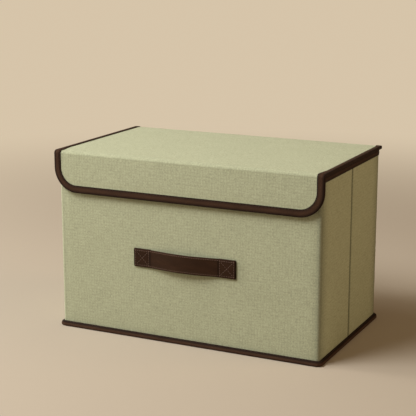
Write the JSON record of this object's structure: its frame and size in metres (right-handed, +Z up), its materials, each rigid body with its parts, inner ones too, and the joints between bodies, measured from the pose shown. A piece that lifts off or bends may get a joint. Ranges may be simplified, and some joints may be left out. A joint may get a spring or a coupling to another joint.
{
  "type": "foldable storage box",
  "caption": "Foldable fabric storage box with stiff panels, bound edges, a hinged lid with a rounded front flap and a webbing handle on the front.",
  "frame": {"origin": "on the floor, under the middle of the box, on the underside of the base cloth", "axes": "+Z up, +Y towards the back wall that carries the lid, -Y out of the front with the flap and the handle, +X to the right seen from the front"},
  "size_m": [0.3896, 0.2345, 0.2489],
  "materials": {
    "cloth": "sage green linen-look plain weave, matt",
    "lining": "pale sage plain cloth, matt",
    "binding": "dark brown bias tape with a faint sheen",
    "webbing": "dark brown flat woven webbing",
    "board": "grey-brown chipboard"
  },
  "bodies": {
    "back": {"back_board": "board", "back_cloth": "cloth", "back_lining": "lining", "back_bottom_tape": "binding", "base_cloth": "cloth"},
    "left_rear": {"left_rear_board": "board", "left_rear_cloth": "cloth", "left_rear_lining": "lining", "left_rear_top_tape": "binding", "left_rear_bottom_tape": "binding"},
    "left_front": {"left_front_board": "board", "left_front_cloth": "cloth", "left_front_lining": "lining", "left_front_top_tape": "binding", "left_front_bottom_tape": "binding"},
    "right_rear": {"right_rear_board": "board", "right_rear_cloth": "cloth", "right_rear_lining": "lining", "right_rear_top_tape": "binding", "right_rear_bottom_tape": "binding"},
    "right_front": {"right_front_board": "board", "right_front_cloth": "cloth", "right_front_lining": "lining", "right_front_top_tape": "binding", "right_front_bottom_tape": "binding"},
    "front": {"front_board": "board", "front_cloth": "cloth", "front_lining": "lining", "front_top_tape": "binding", "front_bottom_tape": "binding", "handle_strap": "webbing"},
    "base_rear": {"base_rear_board": "board", "base_rear_lining": "lining"},
    "base_front": {"base_front_board": "board", "base_front_lining": "lining"},
    "lid": {"lid_board": "board", "lid_cloth": "cloth", "lid_lining": "lining", "lid_left_tape": "binding", "lid_right_tape": "binding"},
    "flap": {"flap_board": "board", "flap_cloth": "cloth", "flap_lining": "lining", "flap_tape": "binding", "flap_fold_cloth": "cloth"}
  },
  "joints": [
    {"name": "fold", "type": "hinge", "parent": "back", "child": "left_rear", "pos_m": [-0.187, 0.1044, 0], "axis": [0, 0, -1], "range_deg": [-88, 0], "deforming": ["base_cloth"]},
    {"name": "left_crease", "type": "hinge", "parent": "left_rear", "child": "left_front", "pos_m": [-0.1946, 0, 0], "axis": [0, 0, -1], "range_deg": [0, 176]},
    {"name": "left_front_corner", "type": "hinge", "parent": "left_front", "child": "front", "pos_m": [-0.187, -0.1044, 0], "axis": [0, 0, -1], "range_deg": [-88, 0]},
    {"name": "right_rear_corner", "type": "hinge", "parent": "back", "child": "right_rear", "pos_m": [0.187, 0.1044, 0], "axis": [0, 0, -1], "range_deg": [0, 88]},
    {"name": "right_crease", "type": "hinge", "parent": "right_rear", "child": "right_front", "pos_m": [0.1946, 0, 0], "axis": [0, 0, -1], "range_deg": [-176, 0]},
    {"name": "base_rear_hinge", "type": "hinge", "parent": "back", "child": "base_rear", "pos_m": [0, 0.107, 0.0024], "axis": [1, 0, 0], "range_deg": [-88, 0]},
    {"name": "base_front_hinge", "type": "hinge", "parent": "front", "child": "base_front", "pos_m": [0, -0.107, 0.0024], "axis": [1, 0, 0], "range_deg": [0, 88]},
    {"name": "lid_hinge", "type": "hinge", "parent": "back", "child": "lid", "pos_m": [0, 0.111, 0.2483], "axis": [-1, 0, 0], "range_deg": [0, 240]},
    {"name": "flap_hinge", "type": "hinge", "parent": "lid", "child": "flap", "pos_m": [0, -0.112, 0.2453], "axis": [-1, 0, 0], "range_deg": [0, 90], "deforming": ["flap_fold_cloth"]}
  ],
  "couplings": [
    {"joint": "left_crease", "follows": "fold", "ratio": -2},
    {"joint": "left_front_corner", "follows": "fold", "ratio": 1},
    {"joint": "right_rear_corner", "follows": "fold", "ratio": -1},
    {"joint": "right_crease", "follows": "fold", "ratio": 2},
    {"joint": "base_rear_hinge", "follows": "fold", "ratio": 1},
    {"joint": "base_front_hinge", "follows": "fold", "ratio": -1}
  ]
}
